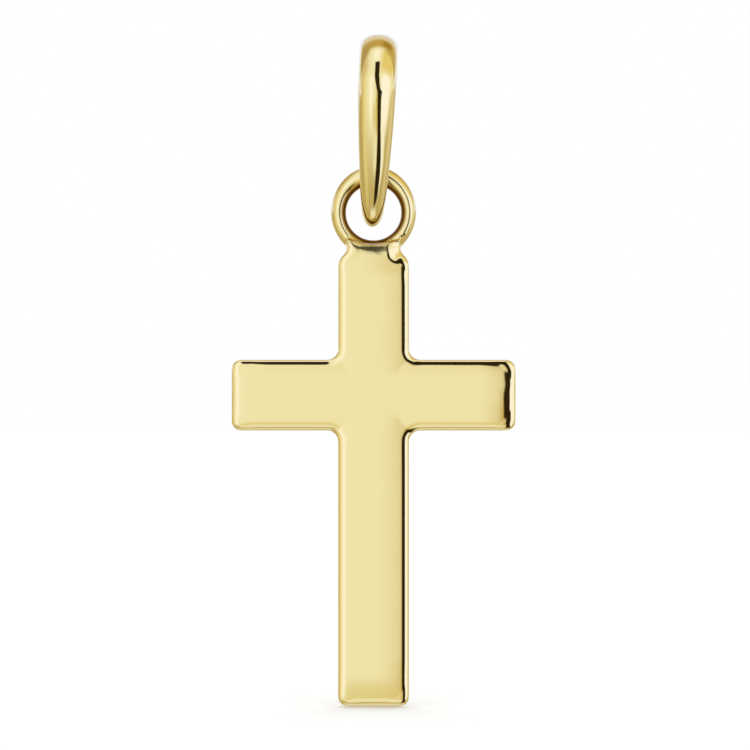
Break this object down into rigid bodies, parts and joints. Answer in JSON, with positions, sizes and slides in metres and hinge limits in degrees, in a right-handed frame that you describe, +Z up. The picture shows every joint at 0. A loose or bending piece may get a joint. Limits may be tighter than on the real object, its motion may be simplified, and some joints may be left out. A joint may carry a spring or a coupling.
{
  "type": "cross pendant with a tapered bail",
  "caption": "Plain Latin cross pendant with rounded edges and a round eyelet, hanging from a tapered teardrop bail that a chain passes through.",
  "frame": {"origin": "inside top of the bail, where the chain bears", "axes": "+Z up as it hangs, +X to the right of someone facing the cross, the crowned front faces -Y"},
  "size_m": [0.01, 0.0042, 0.0236],
  "materials": {
    "polished_gold": "mirror polished pale yellow gold"
  },
  "bodies": {
    "bail": {"bail": "polished_gold"},
    "cross": {"cross": "polished_gold"}
  },
  "joints": [
    {"name": "cross_swing", "type": "hinge", "parent": "bail", "child": "cross", "pos_m": [-0.00018, 0, -0.00416], "axis": [1, 0, 0], "range_deg": [-112, 112]}
  ]
}
